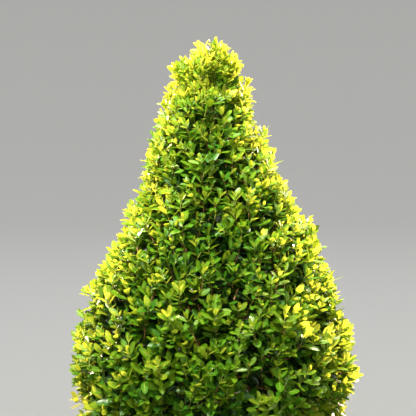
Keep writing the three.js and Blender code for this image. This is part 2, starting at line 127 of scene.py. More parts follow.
# Shoots from the twigs to the clipped surface.
SHOOT_SPACING = 19
SHOOT_LIFT = 0.75  # added to the growth's own, for the shoots' ends
SHOOT_RADIUS = (1.0, 0.85, 0.55)  # at the foot, where the wood turns green, and at the tip
SHOOT_GREEN_FROM = 0.62
SHOOT_MESH = {"rings": 3, "sides": 4}
SHOOT_DEPTH = 13.5  # of a shoot's end under the clipped surface, so that its leaf tips reach it
FURTHEST_OUT = 4  # of a shoot's end beyond the clipped surface
FOOT_DEPTH = 62  # back along a shoot's heading, where it looks for the nearest twig
FOOT_PLACES = (0.5, 0.62, 0.74, 0.86, 0.98)  # shares of a twig's length where shoots may start
SHOOT_CURVE = 0.5  # of its reach, for its middle: back along its heading from its end
THIN_OUT = 0.24  # share of the shoots left out in the skirt
HEADING_JITTER = 0.3
# The crown's unevenness: by chance, in lumps, in hollows where a wave is high, and in long shoots.
UNEVEN_REACH = {"spread": 5, "more_at_top": 0.9}
LUMP = {"size": 75, "height": 5.5}
HOLLOW = {"size": 42, "above": 0.6, "full_after": 0.5, "depth": 26}
LONG_SHOOT = {"share": 0.05, "reach": (5, 14), "wander": 0.5}
WAVES = 16  # sines in each of lumps()
THIN_CROWN = {"radius": 70, "twigs": 0.25, "shoots": 0.3}  # where growth lies less deep, and by what
BLOCKS = 40  # in which distances are worked out, to save memory

# Pairs of leaves from the tip of a stem down: distance from the tip, leaf length, angle from the stem
# in degrees, and youth and shade, which a leaf's tint follows. Its low values, on a shoot's lowest
# pairs and on all of a twig's, put the darkest tints deep in the crown as painted shade.
SHOOT_PAIRS = np.array([
    [1.0, 12.0, 20, 0.55], [4.5, 17.5, 36, 0.35], [10.0, 21.0, 50, 0.15], [16.5, 22.0, 60, -0.05],
    [23.5, 22.0, 67, -0.3], [31.0, 21.5, 72, -0.7], [39.0, 20.5, 76, -1.1], [47.5, 20.0, 80, -1.4],
    [56.5, 19.5, 82, -1.6],
])
# The twigs' pairs lie deep in the crown: their low values give the darkest tint, as painted shade.
TWIG_PAIRS = np.array([
    [2, 21, 40, -1.6], [7, 23, 56, -1.7], [13, 24, 64, -1.8], [20, 24, 70, -1.9],
    [28, 24, 74, -2.0], [37, 24, 76, -2.0], [47, 24, 78, -2.0], [58, 24, 80, -2.0],
    [70, 24, 80, -2.0], [83, 24, 80, -2.0], [97, 24, 80, -2.0], [112, 24, 80, -2.0],
    [128, 24, 80, -2.0],
])
BARE_PAIRS = 3  # at most, missing at a stem's foot
NO_PAIR_BELOW = 0.08  # as a share of the stem's length
PAIR_STRETCH = (0.9, 1.15)  # of the distances between pairs, from stem to stem
LEAF_GAPS = {"at_tip": 0.03, "per_pair": 0.035}  # share of leaves missing, and its rise down the stem
VIGOUR = {"spread": 0.16, "least": 0.68, "most": 1.26}  # of a stem, about 1
LEAF_GROWTH = (0.94, 1.18)  # size of the leaves in the upper cone and in the skirt
LENGTH_SPREAD = (0.85, 1.15)  # from leaf to leaf
LEAF_WIDTH = 0.41  # widest place across, as a share of the length
WIDTH_SPREAD = (0.88, 1.12)  # from leaf to leaf
LEAF_BEND = (-0.04, 0.07)  # mean and spread, as shares of the length
LEAF_CUP = (0.05, 0.05)  # the same
LEAF_JITTER = math.radians(10)  # of the angle from the stem
LEAF_TWIST = 1.5 * LEAF_JITTER  # round the stem
LEAF_ROLL = 0.16  # of the upper side
TURN_TO_LIGHT = 0.85  # of the upper side
LIGHT_FROM_ABOVE = 0.6  # added to the normal of the clipped surface
AT_TOP = {"closer_to_stem": 0.34, "narrower": 0.2}  # shares that leaves' angles and widths lose
LOWEST_LEAF = 6  # height

# What a leaf's youth and shade adds up from, besides that of its pair. It is less in hollows. At the
# top it is more, and evened from pair to pair, so that little of the inner pairs' painted shade is
# left there.
YOUTH_AND_SHADE = {
    "patches": 0.4, "patch_size": 60, "spread": 0.5, "least": -0.7, "most": 0.8, "long": 0.8,
    "hollow": 0.5, "upper_cone": 0.25, "top": 1.15, "top_evens": 0.45, "leaf_spread": 0.15,
}

# Half a leaf's outline: shares of its length and of half its width, and where its blunt tip is.
LEAF_ROWS = np.array([[0.12, 0.28], [0.34, 0.86], [0.60, 1.0], [0.86, 0.68]])
LEAF_TIP = 0.985
# The same for the midrib, and how far it stands above the blade as a share of the leaf's length.
MIDRIB_ROWS = np.array([[0.0, 0.10], [0.36, 0.10], [0.64, 0.07]])
MIDRIB_TIP = 0.9
MIDRIB_ABOVE = 0.012
MIDRIB_FROM_YOUTH_AND_SHADE = -0.25

# Tints from the darkest leaves to the palest, and the slot of each. They follow age, and the darkest
# is deeper than old leaves are, as painted shade of the crown's inside.
LEAF_TINTS = (
    # old leaves, darkened further as painted shade of the crown's inside
    ("leaves_old_painted_shade", (0.006, 0.026, 0.004), "foliage"),
    ("leaves_bottle", (0.016, 0.072, 0.006), "foliage"),
    ("leaves_mid", (0.043, 0.170, 0.007), "foliage"),
    ("leaves_grass", (0.080, 0.262, 0.008), "foliage"),
    ("leaves_fresh", (0.142, 0.335, 0.009), "fresh_foliage"),
    ("leaves_lime", (0.228, 0.370, 0.011), "fresh_foliage"),
    ("leaves_lemon", (0.335, 0.390, 0.018), "fresh_foliage"),
)
# Steps of youth and shade between tints; leaves below the first take the painted shade.
TINT_STEPS = [-1.15, -0.7, -0.25, 0.3, 1.2, 2.0]  # of a leaf's youth, between one tint and the next
MOST_LEAVES = 12000  # in one piece

# Finishes. A mask is 0 below its first number and 1 above its second. Scale and grain are in waves
# to the metre, and relief in metres.
DAPPLE = {
    "scale": 140, "detail": 3, "mask": (0.3, 0.7),
    "deeper": (0.74, 0.84, 0.8), "paler": (1.3, 1.16, 1.2),
}
LEAF_WAX = {"roughness": 0.35, "specular": 0.45}
# Light through a leaf. Each pair is a base and its rise with the green of the leaf's tint.
THROUGH = {"light": (0.1, 1.3), "red": (0.45, 1.15), "green": 0.93, "blue": 0.35, "share": (0.1, 1.2)}
YOUNG_STEM = {"colour": (0.24, 0.27, 0.035), "roughness": 0.5}
MIDRIB = {"colour": (0.24, 0.36, 0.05), "roughness": 0.4}
FURROW_NOISE = {"stretch": (1, 1, 0.22), "detail": 6, "roughness": 0.62, "mask": (0.36, 0.62)}
BARK = {
    "ridge": (0.30, 0.235, 0.16), "furrow": (0.075, 0.05, 0.03),
    "grain": 260, "relief": 0.0006, "roughness": 0.85,
}
OLD_STEM = {
    "ridge": (0.33, 0.18, 0.065), "furrow": (0.17, 0.085, 0.03),
    "grain": 520, "relief": 0.0001, "roughness": 0.7,
}

# The room, in metres: the floor's profile of radius and height, and its finish.
BOWL = np.array([[0, 0], [3.6, 0], [5.2, 0.12], [6.4, 0.7], [7.0, 1.8], [7.2, 3.4]])
BOWL_MESH = {"span_steps": 12, "sides": 96}
PALE_FLOOR = {"colour": (0.55, 0.545, 0.53), "roughness": 0.9}
# Lamps on the plant: place, height on the upright axis that it looks at, side, power in watts,
# colour, and width of the beam in degrees.
SUNLIGHT = (1, 0.97, 0.82)
WARM = (1.0, 0.73, 0.58)
LAMPS = (
    ("key", (-0.6, -1.1, 2.3), 0.48, 0.4, 17, SUNLIGHT, 60),
    ("low_fill", (0.5, -1.9, 0.75), 0.14, 0.6, 0.7, (1, 0.93, 0.74), 36),
    ("rim_left", (-1.4, 1.1, 1.2), 0.24, 0.35, 17, WARM, 50),
    ("rim_right", (1.25, 1.35, 1.2), 0.24, 0.35, 29, WARM, 50),
    ("high_fill", (-0.3, -1.8, 1.3), 0.66, 0.4, 0.5, SUNLIGHT, 22),
    ("top", (0.1, 0.5, 2.1), 0.55, 0.8, 9, (1, 0.86, 0.62), 50),
)
FLOOR_PANEL = {"height": 7, "size": 8, "power": 620, "colour": (1, 1, 1), "beam": 180}
SKY = {"colour": (0.93, 0.97, 1.0), "strength": 0.12}

PHOTO_WIDTH = 0.693  # of the photo's frame, measured at the plant
CAMERA_DISTANCE = 2.5
CAMERA_ELEVATION = math.radians(4)
AIM = Vector((-0.007, 0, 0.415))

lit_plant = bpy.data.collections.new("lit_plant")
lit_floor = bpy.data.collections.new("lit_floor")
foliage_nodes = sorted(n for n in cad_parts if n.startswith("foliage"))
bough_nodes = sorted(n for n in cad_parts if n.startswith("bough"))


# Surfaces from whole arrays


def unit(vectors):
    """Each vector divided by its length."""
    return vectors / np.linalg.norm(vectors, axis=-1, keepdims=True)


def spread(amount, size):
    """Numbers dealt evenly from -amount to amount."""
    return random.uniform(-amount, amount, size)


def ramp(height, zone):
    """0 at the first height of a zone and before it, 1 at the second and past it, even in between."""
    return np.clip((height - zone[0]) / (zone[1] - zone[0]), 0, 1)


def spline(knots, per_span):
    """A uniform Catmull-Rom curve through knots a, b, c, d with its ends doubled: on the span from b
    to c, half of 2b + (c - a) t + (2a - 5b + 4c - d) t^2 + (3b - a - 3c + d) t^3."""
    padded = np.vstack([knots[:1], knots, knots[-1:]])
    a, b, c, d = (padded[i:len(padded) - 3 + i, None] for i in range(4))
    t = np.linspace(0, 1, per_span, endpoint=False)[None, :, None]
    curve = 0.5 * (
        2 * b + (c - a) * t + (2 * a - 5 * b + 4 * c - d) * t**2 + (3 * b - a - 3 * c + d) * t**3
    )
    return np.vstack([curve.reshape(-1, knots.shape[1]), knots[-1:]])


def bezier(start, middle, end, t):
    """The quadratic curve (1 - t)^2 start + 2 t (1 - t) middle + t^2 end."""
    return (1 - t) ** 2 * start + 2 * t * (1 - t) * middle + t**2 * end


def circle(sides):
    """Angles of a circle's points, evenly round it."""
    return np.linspace(0, FULL_TURN, sides, endpoint=False)


def copies(faces, points):
    """One mesh from points (copies, corners, 3), with the same faces in each copy."""
    every = faces[None] + (np.arange(len(points)) * points.shape[1])[:, None, None]
    return points.reshape(-1, 3), every.reshape(-1, 3)


def skin(rings):
    """Closed skins over rings of points (tubes, rings, sides, 3): two triangles between each four
    neighbours, and a fan at each end."""
    tubes, count, sides, _ = rings.shape
    ring, side = np.meshgrid(np.arange(count - 1), np.arange(sides), indexing="ij")
    a = (ring * sides + side).ravel()
    b = (ring * sides + (side + 1) % sides).ravel()
    k = np.arange(1, sides - 1)
    last = (count - 1) * sides
    faces = np.vstack([
        np.column_stack([a, b, b + sides]),
        np.column_stack([a, b + sides, a + sides]),
        np.column_stack([0 * k, k + 1, k]),
        np.column_stack([last + 0 * k, last + k, last + k + 1]),
    ])
    return copies(faces, rings.reshape(tubes, -1, 3))


def round_rings(paths, radii, sides):
    """Rings round each point p of paths (tubes, rings, 3): p + r (a cos u + b sin u), where a and b
    lie across the path and r is given for each ring, or for each ring and side."""
    way = unit(np.gradient(paths, axis=1))
    steep = np.abs(way[:, :1, 2:]) > NEARLY_UPRIGHT
    across = np.cross(way[:, :1], np.where(steep, SIDEWAYS, UP))
    a = unit(across - way * (way * across).sum(-1, keepdims=True))
    b = np.cross(way, a)
    u = circle(sides)[:, None]
    ring = a[:, :, None] * np.cos(u) + b[:, :, None] * np.sin(u)
    return paths[:, :, None] + np.broadcast_to(radii[..., None], ring.shape[:3] + (1,)) * ring


def waves_of(count):
    """Seeded directions and phases for lumps()."""
    return unit(random.normal(size=(count, 3))), random.uniform(0, FULL_TURN, count)


def lumps(points, size, waves):
    """Smooth unevenness: a sum of sines along seeded directions, each with a wave as long as size,
    over the square root of how many there are."""
    ways, phases = waves
    return np.sin(points @ ways.T * (FULL_TURN / size) + phases).sum(-1) / math.sqrt(len(phases))


def add_object(name, data):
    """A new object in the scene, at the origin."""
    made = bpy.data.objects.new(name, data)
    scene.collection.objects.link(made)
    return made


def add_piece(name, points, faces, material, nodes, slot):
    """A smooth mesh from points in millimetres and rows of three corners, which rides on the plant's
    body and stands for CAD nodes. Its slot is not used."""
    mesh = bpy.data.meshes.new(name)
    mesh.vertices.add(len(points))
    mesh.vertices.foreach_set("co", (points * MM).astype(np.float32).ravel())
    mesh.loops.add(faces.size)
    mesh.loops.foreach_set("vertex_index", faces.astype(np.int32).ravel())
    mesh.polygons.add(len(faces))
    mesh.polygons.foreach_set("loop_start", np.arange(0, faces.size, 3, dtype=np.int32))
    mesh.update(calc_edges=True)
    mesh.validate()
    mesh.shade_smooth()
    mesh.materials.append(material)
    piece = add_object(name, mesh)
    lit_plant.objects.link(piece)
    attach(piece, "root")
    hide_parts(*nodes)


# The clipped surface

outline = spline(OUTLINE, SPAN_STEPS)
outline_steps = np.linalg.norm(np.diff(outline, axis=0), axis=1)
outline_lengths = np.concatenate([[0], np.cumsum(outline_steps)])
outline_length = outline_lengths[-1]
outline_columns = (*outline.T, *np.gradient(outline, outline_lengths, axis=0).T)


def on_outline(along):
    """Radius, height and both their slopes at shares of the outline's length."""
    return [np.interp(along * outline_length, outline_lengths, column) for column in outline_columns]


def along_at(height):
    """The share of the outline's length at which its side reaches a height."""
    widest = outline[:, 0].argmax()
    return np.interp(height, outline[widest:, 1], outline_lengths[widest:]) / outline_length


def bells(rows, bearing, radius, height):
    """The sum over rows of bearing, height, size and spread: size exp(-(distance / spread)^2)."""
    turn = np.arccos(np.cos(bearing[:, None] - np.radians(rows[:, 0])))
    away = np.hypot(turn * radius[:, None], height[:, None] - rows[:, 1]) / rows[:, 3]
    return (rows[:, 2] * np.exp(-(away**2))).sum(1)


def clipped_at(bearing, along):
    """Point, normal, heading of growth and radius of the clipped surface. Its radius swells by bells,
    and growth heads along the normal, lifted."""
    radius, height, widening, rising = on_outline(along)
    radius = radius + bells(SWELLS, bearing, radius, height)
    level = np.column_stack([np.cos(bearing), np.sin(bearing), np.zeros_like(bearing)])
    point = level * radius[:, None] + UP * height[:, None]
    normal = unit(level * rising[:, None] - UP * widening[:, None])
    return point, normal, unit(normal + LIFT * UP), radius


def sites_over(low, apart):
    """Bearings and shares of the outline's length for places that stand about as far apart as given,
    from a low share to the top: rows up the clipped surface, staggered, each with as many places as
    its girth holds."""
    rows = round((1 - low) * outline_length / apart)
    middles = low + (1 - low) * (np.arange(rows) + 0.5) / rows
    counts = np.maximum(1, np.rint(FULL_TURN * on_outline(middles)[0] / apart)).astype(int)
    row = np.repeat(np.arange(rows), counts)
    place = np.concatenate([np.arange(count) for count in counts])
    shifted = place + 0.5 * (row % 2) + spread(SITE_JITTER[0], len(row))
    along = middles[row] + spread(SITE_JITTER[1], len(row)) * (1 - low) / rows
    return FULL_TURN * shifted / counts[row], np.clip(along, 0, 1)


# Trunk and boughs


def leader_knots():
    """The leader wanders: at step k of its height, x = sway sin(turn k), y = sway cos(turn k +
    start), with a sway that fades upwards and is none at the ground."""
    step = np.arange(SWAY["steps"] + 1)
    sway = np.where(step > 0, SWAY["most"] * (1 - step / SWAY["fades_over"]), 0)
    return np.column_stack([
        sway * np.sin(step * SWAY["x_turn"]),
        sway * np.cos(step * SWAY["y_turn"] + SWAY["y_start"]),
        TRUNK["height"] * step / SWAY["steps"],
    ])


leader_path = spline(leader_knots(), SPAN_STEPS)


def leader_at(height):
    """Points of the leader's middle at heights, and straight up above its tip."""
    x, y, z = leader_path.T
    return np.column_stack([np.interp(height, z, x), np.interp(height, z, y), height])


def bough_curve(tier, index):
    """Start, middle and end of a bough's curve: from the leader to just short of its mass, bowed
    down, outward and sideways. Boughs side by side leave the leader at heights apart, by
    2 index mod 5."""
    bearing = np.array([FRONT_BEARING + FULL_TURN * index / tier["count"]])
    point, normal, heading, radius = clipped_at(bearing, np.array([along_at(tier["to"])]))
    depth = LEAF_DEPTH["least"] + LEAF_DEPTH["per_radius"] * radius + CORE["thickness"]
    inward = min(
        depth[0] / (heading @ normal.T).item(),
        (radius[0] - CORE["hollow_radius"]) / np.hypot(*heading[0, :2]),
    )
    entry = (point - heading * inward)[0]
    start = leader_at(np.array([tier["from"] + tier["rise"] * (index * 2 % 5)]))[0]
    outward = unit((entry - start) * [1, 1, 0])
    sideways = np.cross(UP, outward)
    sweep = tier["sweep"] * math.sin(index * TURN_OF_SWEEP)
    middle = (start + entry) / 2 - UP * tier["bow"] + outward * tier["bow"] / 2 + sideways * sweep
    return start, middle, entry - unit(entry - middle) * STEM_STANDS_OUT


def furrows(turn, along, phase):
    """Depth of the bark's furrows, from 0 to 1: 1 - |sin|^sharpness round the limb, where the sine
    wavers along it by two more sines."""
    waver = (
        LONG_WAVER["turn"] * np.sin(along / LONG_WAVER["length"] + phase)
        + SHORT_WAVER["turn"] * np.sin(along / SHORT_WAVER["length"] + 2 * phase + turn)
    )
    return 1 - np.abs(np.sin(turn * RIDGES["count"] / 2 + waver)) ** RIDGES["sharpness"]


def trunk_rings():
    """Level rings up the leader: taper + flare exp(-z / height) times its lobes, less the furrows.
    The lobes at an angle u are 1 + l cos 4u + l cos(3u + 1)."""
    share = np.linspace(0, 1, TRUNK_BARK["rings"]) ** TRUNK_BARK["crowding"]
    centre = leader_at(TRUNK["height"] * share)
    turn = circle(TRUNK_BARK["sides"])
    taper = TRUNK["radius"] + (TRUNK["tip_radius"] - TRUNK["radius"]) * share ** TRUNK_BARK["taper"]
    flare = FLARE["radius"] * np.exp(-centre[:, 2] / FLARE["height"])
    lobes = 1 + FLARE["lobes"] * np.cos(4 * turn) + FLARE["lobes"] * np.cos(3 * turn + 1)
    depth = TRUNK_BARK["depth"] * np.minimum(1, taper / TRUNK["radius"])[:, None]
    radius = taper[:, None] + flare[:, None] * lobes - depth * furrows(turn, centre[:, 2:], 0)
    way = np.column_stack([np.cos(turn), np.sin(turn), 0 * turn])
    return (centre[:, None] + radius[..., None] * way)[None]


def bough_rings():
    """Round rings along every bough's curve, its radius tapering evenly, less the furrows."""
    share = np.linspace(0, 1, BOUGH_BARK["rings"])[:, None]
    turn = circle(BOUGH_BARK["sides"])
    paths = np.stack([bezier(*curve, share) for curves in bough_curves for curve in curves])
    girth = np.stack([
        tier["radius"] + (tier["tip_radius"] - tier["radius"]) * share
        for tier in TIERS for _ in range(tier["count"])
    ])
    phase = np.arange(len(paths))[:, None, None]
    depth = BOUGH_BARK["depth"] * furrows(turn, share[None] * BOUGH_BARK["length"], phase)
    return round_rings(paths, girth - depth, BOUGH_BARK["sides"])


bough_curves = [[bough_curve(tier, index) for index in range(tier["count"])] for tier in TIERS]


# Twigs

seams = [along_at(height) for height in SEAM_HEIGHTS]
lump_waves, hollow_waves, youth_waves = waves_of(WAVES), waves_of(WAVES), waves_of(WAVES)


def thinner(radius, least):
    """Share of their depth that growths keep where the crown is thin: radius / thin radius + least,
    and 1 at most."""
    return np.minimum(1, radius / THIN_CROWN["radius"] + least)[:, None]


def twig_feet(bearing, along, ends):
    """Where twigs leave their limb, and which way it runs there: near the tip of the bough whose mass
    they are in, or on the leader below a twig of the crown's top."""
    start = np.empty_like(ends)
    way = np.empty_like(ends)
    tier_of = np.searchsorted(seams, along)
    share = random.uniform(*TWIG_FEET, len(along))[:, None]
    for tier, curves in enumerate(bough_curves):
        width = FULL_TURN / len(curves)
        nearest = np.rint((bearing - FRONT_BEARING) / width).astype(int) % len(curves)
        for index, curve in enumerate(curves):
            mine = (tier_of == tier) & (nearest == index)
            start[mine] = bezier(*curve, share[mine])
            way[mine] = unit(curve[2] - curve[1])
    top = tier_of == len(TIERS)
    drop = random.uniform(*TOP_TWIG_DROP, top.sum())
    height = np.clip(ends[top, 2] - drop, TRUNK["height"] - TOP_TWIGS_BELOW_TIP, TOP_FORK_HEIGHT)
    start[top] = leader_at(height)
    way[top] = UP
    return start, way


def grow_twigs():
    """Twigs from their limbs to some depth under the clipped surface, as start, middle and end of a
    curve that leaves along the limb."""
    bearing, along = sites_over(LOWEST_TWIG, TWIG_SPACING)
    point, normal, heading, _ = clipped_at(bearing, along)
    depth = random.uniform(*TWIG_DEPTH, len(point))[:, None]
    ends = point - heading * depth * thinner(np.hypot(*point[:, :2].T), THIN_CROWN["twigs"])
    start, way = twig_feet(bearing, along, ends)
    reach = np.linalg.norm(ends - start, axis=1, keepdims=True)
    middle = start + (way * TWIG_CURVE[0] + unit(ends - start) * TWIG_CURVE[1]) * reach
    none = np.zeros(len(ends))
    return {
        "start": start, "middle": middle, "end": ends, "reach": reach[:, 0],
        "heading": heading, "normal": normal, "hollow": none, "long": none,
    }


# Shoots


def rise_at_tuft(points):
    """How far the crown's top rises at its highest tuft, and falls away round it: less with the
    distance from the tuft's middle, and only near the top."""
    away = np.hypot(points[:, 0] - TOP_TUFT["x"], points[:, 1] - TOP_TUFT["y"])
    outside = np.clip((away - TOP_TUFT["radius"]) / TOP_TUFT["fades_over"], 0, 1)
    rise = TOP_TUFT["lift"] - (TOP_TUFT["lift"] + TOP_TUFT["drop"]) * outside
    return rise * ramp(points[:, 2], TOP_TUFT["rises"])


def shoot_depths(point, bearing, radius):
    """How far shoots end under the clipped surface, how much of a hollow they stand in, and which
    ones are long. Their ends are uneven and follow lumps, and where a wave is high they stop short,
    as hollows. A few long ones reach further out."""
    count, height = len(point), point[:, 2]
    wave = lumps(point, HOLLOW["size"], hollow_waves)
    hollow = np.clip((wave - HOLLOW["above"]) / HOLLOW["full_after"], 0, 1)
    uneven = np.abs(random.normal(0, UNEVEN_REACH["spread"], count))
    depth = (
        SHOOT_DEPTH
        - LUMP["height"] * lumps(point, LUMP["size"], lump_waves)
        + uneven * (1 + UNEVEN_REACH["more_at_top"] * ramp(height, TOP))
        + HOLLOW["depth"] * hollow
    )
    is_long = (random.random(count) < LONG_SHOOT["share"]) & (height < TOP_TUFT["rises"][0])
    depth = np.where(is_long, SHOOT_DEPTH - random.uniform(*LONG_SHOOT["reach"], count), depth)
    return depth + bells(TRIMS, bearing, radius, height), hollow, is_long


def nearest_foot(twigs, wanted):
    """For each wanted point, the nearest place on a twig where a shoot may start."""
    curves = (twigs["start"], twigs["middle"], twigs["end"])
    places = np.concatenate([bezier(*curves, share) for share in FOOT_PLACES])
    nearest = [
        ((block[:, None] - places) ** 2).sum(-1).argmin(1) for block in np.array_split(wanted, BLOCKS)
    ]
    return places[np.concatenate(nearest)]


def grow_shoots(twigs):
    """Shoots from the nearest twig to the clipped surface, as start, middle and end of a curve that
    ends along its heading. There are fewer in the skirt."""
    bearing, along = sites_over(0, SHOOT_SPACING)
    height = on_outline(along)[1]
    kept = random.random(len(height)) > THIN_OUT * ramp(height, SKIRT)
    bearing, along = bearing[kept], along[kept]
    point, normal, heading, radius = clipped_at(bearing, along)
    depth, hollow, is_long = shoot_depths(point, bearing, radius)
    wander = random.normal(0, HEADING_JITTER, point.shape)
    wander = wander * np.where(is_long, LONG_SHOOT["wander"], 1)[:, None]
    heading = unit(unit(heading + SHOOT_LIFT * UP) + wander)
    ends = point - normal * np.maximum(depth, -FURTHEST_OUT)[:, None]
    ends[:, 2] += rise_at_tuft(ends)
    wanted = ends - heading * FOOT_DEPTH * thinner(radius, THIN_CROWN["shoots"])
    start = nearest_foot(twigs, wanted)
    reach = np.linalg.norm(ends - start, axis=1, keepdims=True)
    middle = ends - heading * reach * SHOOT_CURVE
    return {
        "start": start, "middle": middle, "end": ends, "reach": reach[:, 0],
        "heading": heading, "normal": normal, "hollow": hollow, "long": is_long,
    }


def stem_paths(stems, low, high, girth, rings):
    """Paths of stems from a low to a high share of their length, and radii that taper evenly."""
    share = np.linspace(low, high, rings)[:, None, None]
    paths = bezier(stems["start"], stems["middle"], stems["end"], share).transpose(1, 0, 2)
    return paths, np.broadcast_to(np.linspace(*girth, rings)[:, None], paths.shape[:2] + (1,))


def twig_rings(twigs):
    """Rings along the twigs, and along the thin leader that carries on from the trunk's tip."""
    rings = TWIG_MESH["rings"]
    paths, girths = stem_paths(twigs, 0, 1, TWIG_RADIUS, rings)
    leader = leader_at(np.linspace(TRUNK["height"] - LEADER_OVERLAP, TOP_FORK_HEIGHT, rings))
    leader_girth = np.linspace(TRUNK["tip_radius"], TWIG_RADIUS[1], rings)[None, :, None]
    paths = np.concatenate([paths, leader[None]])
    return round_rings(paths, np.concatenate([girths, leader_girth]), TWIG_MESH["sides"])


# Leaves


def pairs_along(stems, distances):
    """Where pairs of leaves stand, as shares of their stem's length, which of them are there, and
    the stem's vigour, by which its distances and leaves are larger: 1 with some spread, and more in
    the skirt."""
    count, pairs = len(stems["reach"]), len(distances)
    vigour = np.clip(random.normal(1, VIGOUR["spread"], count), VIGOUR["least"], VIGOUR["most"])
    many = random.integers(pairs - BARE_PAIRS, pairs + 1, count)
    vigour = vigour * np.interp(ramp(stems["end"][:, 2], SKIRT), [0, 1], LEAF_GROWTH)
    distance = distances * vigour[:, None] * random.uniform(*PAIR_STRETCH, (count, 1))
    along = 1 - distance / stems["reach"][:, None]
    there = (np.arange(pairs) < many[:, None]) & (along > NO_PAIR_BELOW)
    return np.clip(along, 0, 1), there, vigour


def leaf_ways(stems, along, angles):
    """Feet of leaves, the way each points and its upper side. A pair stands across its stem, a
    quarter turn from the pair before. Each leaf leans out by its pair's angle l, less far at the
    crown's top, and points along cos l axis + sin l outward. Its upper side, sin l axis - cos l
    outward, turns some way to the light."""
    count, pairs = along.shape
    t = along[..., None]
    start, middle, end = (stems[name][:, None] for name in ("start", "middle", "end"))
    feet = bezier(start, middle, end, t)
    axis = unit((1 - t) * (middle - start) + t * (end - middle))
    steep = np.abs(stems["heading"][:, 2:]) > NEARLY_UPRIGHT
    a = unit(np.cross(axis, np.where(steep, SIDEWAYS, UP)[:, None]))
    b = np.cross(axis, a)

    begin = random.uniform(0, FULL_TURN, (count, 1, 1))
    quarter = FULL_TURN / 4 * np.arange(pairs)[:, None]
    turn = begin + quarter + FULL_TURN / 2 * np.arange(2) + spread(LEAF_TWIST, (count, pairs, 2))
    outward = np.cos(turn)[..., None] * a[:, :, None] + np.sin(turn)[..., None] * b[:, :, None]
    axis = np.broadcast_to(axis[:, :, None], outward.shape)
    closer = 1 - AT_TOP["closer_to_stem"] * ramp(stems["end"][:, 2], TOP)[:, None, None]
    lean = np.radians(angles)[:, None] * closer + random.normal(0, LEAF_JITTER, turn.shape)
    lean = lean[..., None]
    out = unit(np.cos(lean) * axis + np.sin(lean) * outward)

    light = unit(stems["normal"] + UP * LIGHT_FROM_ABOVE)[:, None, None]
    upward = np.sin(lean) * axis - np.cos(lean) * outward
    upward = upward + TURN_TO_LIGHT * light + random.normal(0, LEAF_ROLL, upward.shape)
    upward = unit(upward - out * (out * upward).sum(-1, keepdims=True))
    return np.broadcast_to(feet[:, :, None], out.shape), out, upward


def leaf_youth_and_shade(stems, pair_youths_and_shade):
    """Youth and shade of leaves, which their tints follow: the sum of their pair's, of their stem's,
    which follows patches, chance, long shoots, hollows and the upper cone, and of some chance for
    each leaf. Low values give the darkest tints, as painted shade deep in the crown. At the top it is
    more, and more even from pair to pair, so that little of that painted shade is left there."""
    height = stems["end"][:, 2]
    high = ramp(height, TOP)[:, None, None]
    pair = pair_youths_and_shade[:, None]
    of_stem = (
        YOUTH_AND_SHADE["patches"] * lumps(stems["end"], YOUTH_AND_SHADE["patch_size"], youth_waves)
        + np.clip(random.normal(0, YOUTH_AND_SHADE["spread"], len(height)), YOUTH_AND_SHADE["least"], YOUTH_AND_SHADE["most"])
        + YOUTH_AND_SHADE["long"] * stems["long"]
        - YOUTH_AND_SHADE["hollow"] * stems["hollow"]
        + YOUTH_AND_SHADE["upper_cone"] * ramp(height, UPPER_CONE)
    )[:, None, None]
    youth_and_shade = of_stem + pair + (YOUTH_AND_SHADE["top"] - YOUTH_AND_SHADE["top_evens"] * pair) * high
    return youth_and_shade + random.normal(0, YOUTH_AND_SHADE["leaf_spread"], (len(height), len(pair_youths_and_shade), 2))


def grow_leaves(stems, pair_rule):
    """The leaves of stems by a rule for their pairs: feet, ways, sizes, bend, cup, and youth and
    shade.
    """
    distances, lengths, angles, pair_youths_and_shade = pair_rule.T
    along, there, vigour = pairs_along(stems, distances)
    feet, out, upward = leaf_ways(stems, along, angles)
    both = out.shape[:3]
    length = lengths[:, None] * vigour[:, None, None] * random.uniform(*LENGTH_SPREAD, both)
    gaps = LEAF_GAPS["at_tip"] + LEAF_GAPS["per_pair"] * np.arange(len(lengths))[:, None]
    missing = random.random(both) < gaps
    width = LEAF_WIDTH * (1 - AT_TOP["narrower"] * ramp(stems["end"][:, 2], TOP)[:, None, None])
    leaves = {
        "foot": feet, "out": out, "up": upward, "length": length,
        "youth_and_shade": leaf_youth_and_shade(stems, pair_youths_and_shade),
        "width": width * random.uniform(*WIDTH_SPREAD, both),
        "bend": random.normal(*LEAF_BEND, both),
        "cup": random.normal(*LEAF_CUP, both),
    }
    return chosen_of(leaves, there[..., None] & ~missing)


def chosen_of(leaves, chosen):
    """The leaves that a mask or a list of places names."""
    return {name: values[chosen] for name, values in leaves.items()}


def all_leaves(shoots, twigs):
    """The leaves of shoots and twigs, without those that would lie on the ground."""
    grown = [grow_leaves(shoots, SHOOT_PAIRS), grow_leaves(twigs, TWIG_PAIRS)]
    leaves = {name: np.concatenate([some[name] for some in grown]) for name in grown[0]}
    lowest = leaves["foot"][:, 2] + np.minimum(0, leaves["out"][:, 2]) * leaves["length"]
    return chosen_of(leaves, lowest > LOWEST_LEAF)


def on_leaves(leaves, u, v, above=0.0):
    """Points of each leaf at shares u of its length and v of its half width: bend u^2 above the
    leaf's plane, cup |v| higher towards its edges, and above, a share of the length, on top of
    that."""
    length, width, bend, cup = (leaves[name][:, None] for name in ("length", "width", "bend", "cup"))
    out, up = leaves["out"][:, None], leaves["up"][:, None]
    side = np.cross(out, up)
    rise = bend * u**2 + cup * np.abs(v) + above
    steps = u[:, None] * out + (0.5 * width * v)[..., None] * side + rise[..., None] * up
    return leaves["foot"][:, None] + length[..., None] * steps


